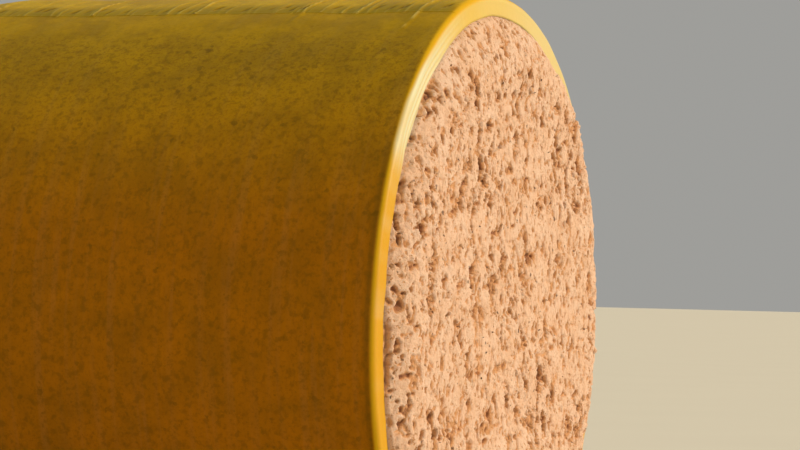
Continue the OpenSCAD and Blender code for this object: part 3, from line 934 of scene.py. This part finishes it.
class FilmSettings(bpy.types.PropertyGroup):
    lip_width: metres("Lip width", "How far the first turn reaches in over each end", 0.075)
    lip_step: metres("Lip step", "How much shorter each later turn's lip is", 0.002)
    edge_wander: metres("Edge wander", "How far the lips' inner edges wander in and out", 0.008)
    gather_height: metres("Gather height", "Height of the gathers on the lips", 0.003)
    strand_height: metres("Strand height", "Height of the folds along the lips where they are drawn", 0.0015)
    strand_pitch: metres("Strand pitch", "Distance from one such fold to the next", 0.021)
    dent_height: metres("Dent height", "Height of the broad dents over the cotton", 0.005)
    tail_angle: degrees("Tail angle", "Angle of the free end above the horizontal", 66)
    tack_width: metres("Tack width", "Width of the strip that is stuck down at the free end", 0.05)
    wrinkle_lean: degrees("Wrinkle lean", "Lean of the wrinkles off the winding", 5)
    wrinkle_count: whole_number("Wrinkles", "Short slack wrinkles at the tail", 56)
    wrinkle_length: metres("Wrinkle length", "Length of the longest short wrinkle", 0.40)
    wrinkle_width: metres("Wrinkle half width", "Half the width of a long wrinkle", 0.0095)
    wrinkle_height: metres("Wrinkle height", "Height of a long wrinkle", 0.006)
    pucker_count: whole_number("Puckers", "Puckers just above the free end", 44)
    pucker_depth: metres("Pucker depth", "Depth of the deepest pucker", 0.0055)
    slack_height: metres("Slack height", "How far the film stands off above the stuck strip", 0.004)
    slack_reach: metres("Slack reach", "Length of film that lies slack above the free end", 0.12)
    slump_depth: metres("Slump depth", "How far the left end sags at the top", 0.055)
    slump_start: metres("Slump start", "Place along the roll where the sag begins", -0.62, low=-5.0)
    slump_length: metres("Slump length", "Length of roll over which the sag grows", 0.38)
    shoulder_swell: metres("Shoulder swell", "How much fuller the right end is at its upper back", 0.021)
    film_colour: colour("Film", "Film high on the roll", (0.485, 0.297, 0.002))
    # Painted shade: film low on the roll is darker and redder for shade and warm light from below
    film_low_shade: colour("Shaded film", "Film low on the roll, with reddish field dust", (0.355, 0.132, 0.002))
    # Leaf and hollows seen through the film, and painted shade in the puckers and beside the low rims
    film_dark_and_shade: colour("Dark spots", "Leaf and hollows seen through the film", (0.12, 0.063, 0.003))
    film_dusk: colour("Reddish grain", "Fine dust and shade under the film", (0.22, 0.082, 0.002))
    # Painted sheen: slack film greyer and greener for the sky's reflection
    film_slack_sheen: colour("Slack film", "Film with air under it", (0.33, 0.235, 0.018))
    # Film where it turns over the edge, golden from its layers and from painted sunlight
    film_rim_lit: colour("Rim film", "Film where it turns over the edge", (0.64, 0.395, 0.010))
    # Painted light: film over the top is lighter
    film_top_light: colour("Top film", "Film over the top, beyond the slack strip", (0.58, 0.375, 0.016))
    # Lip film high on the roll, painted paler for the light there
    film_lip: colour("Lip film", "Film turned in over the ends", (0.64, 0.50, 0.108))
    # Painted shade: lip film low on the roll is darker and more orange
    film_lip_low_shade: colour("Shaded lip film", "Lip film low on the roll", (0.60, 0.345, 0.010))
    # Painted highlight on the lips, and the tint of faint bands round the roll
    film_band_and_highlight: colour("Drawn film", "Lip film drawn pale over the upper front", (0.63, 0.69, 0.50))
    # Painted highlight on the crests of the creases
    film_crease_highlight: colour("Creased film", "Film on sharp creases", (0.80, 0.66, 0.20))


class StageSettings(bpy.types.PropertyGroup):
    azimuth: degrees("Azimuth", "Direction that the camera looks from", 20.95)
    elevation: degrees("Elevation", "Camera's angle above what it looks at", -1.34)
    roll: degrees("Roll", "Camera's roll", 1.39)
    distance: metres("Distance", "From the camera to what it looks at", 10.82, high=50.0)
    aim_x: metres("Aim along", "Place that the camera looks at, along the roll", 0.785)
    aim_z: metres("Aim height", "Height that the camera looks at", 1.269)
    lens: number("Lens", "Focal length in millimetres", 135.0)
    key_colour: colour("Key light", "Low warm light on the right end", (1.0, 0.72, 0.46))
    sky_colour: colour("Sky light", "Soft greenish light from above", (0.70, 1.0, 0.60))
    front_colour: colour("Front light", "Soft warm light from low in front", (1.0, 0.32, 0.07))
    floor_colour: colour("Floor", "Plain pale floor", (0.72, 0.69, 0.64))


# Operators

# For each end: its name, random seed, spacing of the points, points round its rim
ENDS = {1: ("right", 5, 0.0053, 1408), -1: ("left", 58, 0.0086, 896)}


class COTTON_OT_pressed_roll(bpy.types.Operator):
    """Make the pressed cotton inside the film"""

    bl_idname = "cotton.pressed_roll"
    bl_label = "Pressed cotton roll"

    def execute(self, context):
        cotton, film = context.scene.cotton_settings, context.scene.film_settings
        rows, columns = 240, 61
        along = np.linspace(-BACK_PLANE, BACK_PLANE, columns)
        s, x = np.meshgrid(np.arange(rows) * GIRTH / rows, along, indexing="ij")
        s, x = s.ravel(), x.ravel()
        y, z, ny, nz = outline(s)
        inset = 0.012 + slump(x, ny, nz, film) + 0.004 * waves(table(x, y, z), 0.15, 77)
        points = table(x, y - ny * inset, z - nz * inset)
        quads = grid_quads(rows + 1, columns) % len(points)
        low = np.arange(rows) * columns
        next_low = np.roll(low, -1)
        high, next_high = low + columns - 1, next_low + columns - 1
        left = table(next_low, low, np.full(rows, len(points)))
        right = table(high, next_high, np.full(rows, len(points) + 1))
        middles = np.array([[-BACK_PLANE, 0, MIDDLE_Z], [BACK_PLANE, 0, MIDDLE_Z]])
        points = np.concatenate([points, middles])
        roll = mesh_piece("pressed_cotton", points, quads[:, ::-1], np.concatenate([left, right]))
        finish_piece(roll, cotton_finish("pressed cotton", cotton), ["cotton_roll"])
        return {"FINISHED"}


class COTTON_OT_loose_ends(bpy.types.Operator):
    """Make the crowned, lumpy cotton of both ends, with its locks and leaf bits"""

    bl_idname = "cotton.loose_ends"
    bl_label = "Loose cotton ends"

    def execute(self, context):
        cotton, film = context.scene.cotton_settings, context.scene.film_settings
        finish, leaf = cotton_finish("loose cotton", cotton), leaf_finish(cotton)
        for side, (word, seed, spacing, full) in ENDS.items():
            points, counts, hollow, outs, share = end_surface(side, seed, spacing, full, cotton, film)
            outer, inner = end_blocks(side, points, counts, hollow)
            locks = lock_mesh(points, outs, share, cotton.lock_count, seed + 100)
            bits = leaf_mesh(points, outs, share, cotton.leaf_count, seed + 200)
            face = mesh_piece(f"loose_cotton_{word}", *outer)
            finish_piece(face, finish, [f"loose_end_{word}"])
            finish_piece(mesh_piece(f"loose_cotton_{word}_middle", *inner), finish)
            finish_piece(mesh_piece(f"cotton_locks_{word}", *locks), finish)
            finish_piece(mesh_piece(f"leaf_bits_{word}", *bits), leaf)
        return {"FINISHED"}


class COTTON_OT_film(bpy.types.Operator):
    """Wrap the roll in its three turns of film, with lips, gathers, the tail and its slack folds"""

    bl_idname = "cotton.film"
    bl_label = "Wrap film"

    def execute(self, context):
        film = context.scene.film_settings
        finish = film_finish(film)
        free_end, joined = tail_place(film), GIRTH + TUCK
        tail = wrinkle_table(film), pucker_table(film)
        covered = LIP_PLANE - 0.03

        def under_second(s, c):
            """How far the first turn is drawn in where the second one hides it."""
            return 0.007 * (np.abs(c) < covered)

        def under_last(s, c):
            """How far the second turn is drawn in where the last one hides it."""
            return 0.004 * smooth(free_end - 0.03, free_end - 0.12, s) * (np.abs(c) < covered)

        # Places round the roll, closer together where the tail shows
        coarse, middling, fine = 0.045, 0.016, 0.0075
        first = steps((0, coarse), (joined, 0))
        second = steps((0, coarse), (free_end - 0.05, fine), (free_end + 0.15, middling),
                       (GIRTH, TUCK / 4), (joined, 0))
        last = steps((0, 0.04), (free_end - 0.50, fine), (free_end, 0))
        turns = [
            film_piece("film_first_turn", first, across(40, film.lip_width), 0, film, under_second),
            film_piece("film_second_turn", second, across(270, film.lip_width), 1, film, under_last, tail),
            film_piece("film_last_turn", last, across(450, film.lip_width), LAST_TURN, film, None, tail),
        ]
        for index, (piece, reach) in enumerate(zip(turns, (joined, joined, free_end))):
            finish_piece(piece, finish, [f"film_turn_{index + 1}"])
        return {"FINISHED"}


class COTTON_OT_stage(bpy.types.Operator):
    """Set the plain floor, the soft lights and the camera"""

    bl_idname = "cotton.stage"
    bl_label = "Floor, lights and camera"

    def execute(self, context):
        stage = context.scene.stage_settings
        self.floor(stage)
        self.light("key", stage.key_colour, 3.6, (0.81, 0.46, 0.36), 3)
        self.light("sky", stage.sky_colour, 0.62, (-0.25, -0.35, 0.90), 80)
        self.light("front", stage.front_colour, 0.75, (0.0, -0.99, 0.10), 70)
        world = bpy.data.worlds.new("studio")
        world.use_nodes = True
        background = world.node_tree.nodes["Background"]
        background.inputs["Color"].default_value = (0.82, 0.81, 0.77, 1)
        background.inputs["Strength"].default_value = 0.42
        context.scene.world = world
        context.scene.view_settings.view_transform = "Standard"
        self.camera(context, stage)
        return {"FINISHED"}

    def floor(self, stage):
        """A plain floor that reaches past what the camera sees."""
        material, n, shader, place = new_material("pale floor")
        darker = [0.96 * c for c in stage.floor_colour]
        n.set(shader, Base_Color=n.mix(n.noise(place, 0.6, 2.0), stage.floor_colour, darker), Roughness=0.9)
        reach = 400.0
        corners = np.array([[-reach, -reach, 0], [reach, -reach, 0], [reach, reach, 0], [-reach, reach, 0]])
        floor = mesh_piece("floor", corners, np.array([[0, 1, 2, 3]]))
        floor.data.materials.append(material)

    def light(self, name, tint, energy, towards, width):
        """A soft light from one direction, that looks width degrees wide."""
        data = bpy.data.lights.new(name, "SUN")
        data.color, data.energy, data.angle = tint, energy, math.radians(width)
        lamp = bpy.data.objects.new(name, data)
        lamp.rotation_mode = "QUATERNION"
        lamp.rotation_quaternion = Vector(towards).to_track_quat("Z", "Y")
        bpy.context.scene.collection.objects.link(lamp)

    def camera(self, context, stage):
        """A camera that looks at its aim from the azimuth and elevation, rolled a little."""
        turn, tilt = stage.azimuth, stage.elevation
        back = Vector((math.sin(turn) * math.cos(tilt), -math.cos(turn) * math.cos(tilt), math.sin(tilt)))
        data = bpy.data.cameras.new("camera")
        data.lens, data.sensor_width = stage.lens, 36.0
        data.clip_start, data.clip_end = 0.1, 1000.0
        camera = bpy.data.objects.new("camera", data)
        camera.location = Vector((stage.aim_x, 0, stage.aim_z)) + back * stage.distance
        right = (-back).cross(Vector((0, 0, 1))).normalized()
        up = right.cross(-back)
        turned_right = right * math.cos(stage.roll) + up * math.sin(stage.roll)
        turned_up = up * math.cos(stage.roll) - right * math.sin(stage.roll)
        camera.rotation_mode = "QUATERNION"
        camera.rotation_quaternion = Matrix((turned_right, turned_up, back)).transposed().to_quaternion()
        context.scene.collection.objects.link(camera)
        context.scene.camera = camera


OPERATORS = (COTTON_OT_pressed_roll, COTTON_OT_loose_ends, COTTON_OT_film, COTTON_OT_stage)
GROUPS = {"cotton_settings": CottonSettings, "film_settings": FilmSettings, "stage_settings": StageSettings}


class COTTON_PT_panel(bpy.types.Panel):
    """Lists the steps that dress the module"""

    bl_idname = "COTTON_PT_panel"
    bl_label = "Round cotton module"
    bl_space_type = "VIEW_3D"
    bl_region_type = "UI"
    bl_category = "Cotton"

    def draw(self, context):
        for step in OPERATORS:
            self.layout.operator(step.bl_idname)
        for key, group in GROUPS.items():
            box = self.layout.box()
            for setting in group.__annotations__:
                box.prop(getattr(context.scene, key), setting)


CLASSES = (*GROUPS.values(), *OPERATORS, COTTON_PT_panel)


def register():
    for made in CLASSES:
        bpy.utils.register_class(made)
    for key, group in GROUPS.items():
        setattr(bpy.types.Scene, key, bpy.props.PointerProperty(type=group))


def unregister():
    for key in GROUPS:
        delattr(bpy.types.Scene, key)
    for made in reversed(CLASSES):
        bpy.utils.unregister_class(made)


def main():
    register()
    bpy.ops.cotton.pressed_roll()
    bpy.ops.cotton.loose_ends()
    bpy.ops.cotton.film()
    bpy.ops.cotton.stage()


if __name__ == "__main__":
    main()
